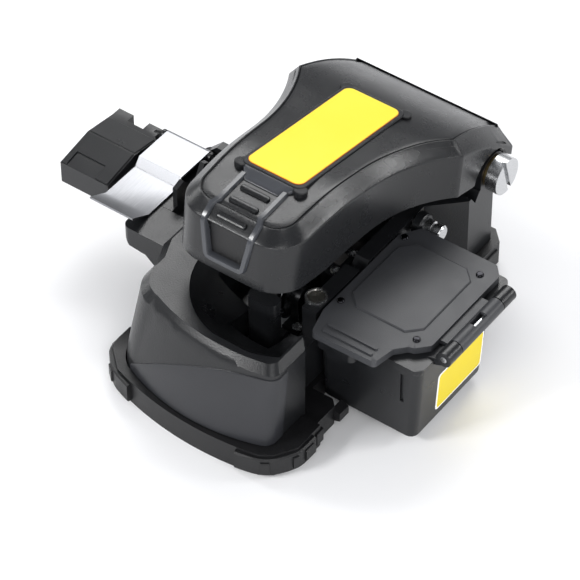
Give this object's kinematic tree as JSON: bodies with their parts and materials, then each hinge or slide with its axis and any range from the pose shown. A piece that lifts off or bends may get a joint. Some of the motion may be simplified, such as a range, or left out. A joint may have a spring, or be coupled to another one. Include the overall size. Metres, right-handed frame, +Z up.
{
  "type": "fibre cleaver",
  "caption": "Benchtop fibre cleaver with an open hinged lever, a bare yellow plate, a round blade on a slide, a side fibre holder with a steel lid and a hooked scrap bin with a hinged flap",
  "frame": {"origin": "centre of the footprint, on the surface the cleaver stands on", "axes": "+X runs along the fibre from the holder to the scrap bin, +Y to the rear toward the lever's hinge, +Z up"},
  "size_m": [0.1425, 0.1251, 0.0708],
  "materials": {
    "black_rubber": "matte black rubber",
    "dark_cast_finish": "satin black powder coat on an aluminium casting",
    "bright_steel": "bright turned steel",
    "ground_steel": "ground steel",
    "pad_rubber": "firm dark rubber",
    "black_anodised": "black anodised alloy",
    "plated_magnet": "plated magnet",
    "brass": "dull brass",
    "black_moulding": "fine textured black moulding",
    "carbide": "polished hard metal",
    "lever_moulding": "fine textured dark grey moulding",
    "yellow_plate": "bare glossy yellow plate",
    "bronze": "sintered bronze",
    "spring_steel": "drawn spring wire",
    "pale_moulding": "pale hard moulding",
    "brushed_lid": "brushed spring steel sheet",
    "bin_moulding": "satin black moulding",
    "flap_moulding": "satin black moulding",
    "dark_screw": "blackened steel"
  },
  "bodies": {
    "root": {"rubber_base": "black_rubber", "main_body": "dark_cast_finish", "base_screws": "bright_steel", "guide_rail": "ground_steel", "rail_screws": "bright_steel", "end_stop": "pad_rubber", "left_clamp_block": "black_anodised", "right_clamp_block": "black_anodised", "clamp_screws": "bright_steel", "left_lower_pad": "pad_rubber", "right_lower_pad": "pad_rubber", "magnet_cup": "bright_steel", "latch_magnet": "plated_magnet", "hinge_shaft": "bright_steel", "hinge_washer": "brass", "hinge_nut": "bright_steel", "holder_magnets": "plated_magnet", "bin_catch_pin": "bright_steel", "bin_hooks": "black_anodised", "hook_screws": "bright_steel"},
    "carriage": {"slide_block": "ground_steel", "blade_bracket": "black_anodised", "blade_screw": "bright_steel", "carriage_screws": "bright_steel", "push_knob": "black_moulding"},
    "blade": {"blade_wheel": "carbide"},
    "lever": {"lever_cover": "lever_moulding", "nameplate": "yellow_plate", "lever_frame": "ground_steel", "hinge_bushes": "bronze", "hinge_spring": "spring_steel", "anvil": "pale_moulding", "left_upper_clamp": "black_anodised", "right_upper_clamp": "black_anodised", "left_upper_pad": "pad_rubber", "right_upper_pad": "pad_rubber", "striker": "bright_steel", "top_screws": "bright_steel", "lever_screws": "bright_steel"},
    "holder": {"holder_body": "black_moulding", "holder_discs": "bright_steel", "lid_pin": "bright_steel"},
    "holder_lid": {"holder_lid": "brushed_lid"},
    "bin": {"scrap_bin": "bin_moulding", "bin_frame": "bin_moulding", "frame_screws": "bright_steel", "flap_pin": "bright_steel"},
    "roller": {"feed_roller": "pad_rubber", "roller_axle": "bright_steel"},
    "flap": {"flap": "flap_moulding", "flap_screws": "dark_screw", "flap_pad": "pad_rubber", "finger_latch": "black_moulding"}
  },
  "joints": [
    {"name": "carriage_slide", "type": "slide", "parent": "root", "child": "carriage", "axis": [0, 1, 0], "range_m": [0, 0.02]},
    {"name": "blade_spin", "type": "hinge", "parent": "carriage", "child": "blade", "pos_m": [0.006, -0.01, 0.0241], "axis": [1, 0, 0], "continuous": true},
    {"name": "lever_hinge", "type": "hinge", "parent": "root", "child": "lever", "pos_m": [0, 0.055, 0.03775], "axis": [-1, 0, 0], "range_deg": [-7.4, 50], "stiffness_Nm_per_rad": 0.25},
    {"name": "holder_slide", "type": "slide", "parent": "root", "child": "holder", "axis": [1, 0, 0], "range_m": [0, 0.01]},
    {"name": "holder_lid_hinge", "type": "hinge", "parent": "holder", "child": "holder_lid", "pos_m": [-0.055, 0.0146, 0.0329], "axis": [-1, 0, 0], "range_deg": [0, 100]},
    {"name": "bin_slide", "type": "slide", "parent": "root", "child": "bin", "axis": [1, 0, 0], "range_m": [0, 0.04]},
    {"name": "roller_spin", "type": "hinge", "parent": "bin", "child": "roller", "pos_m": [0.0295, 0.003, 0.02795], "axis": [0, 1, 0], "continuous": true},
    {"name": "flap_hinge", "type": "hinge", "parent": "bin", "child": "flap", "pos_m": [0.061, 0.00225, 0.0334], "axis": [0, 1, 0], "range_deg": [0, 110]}
  ]
}
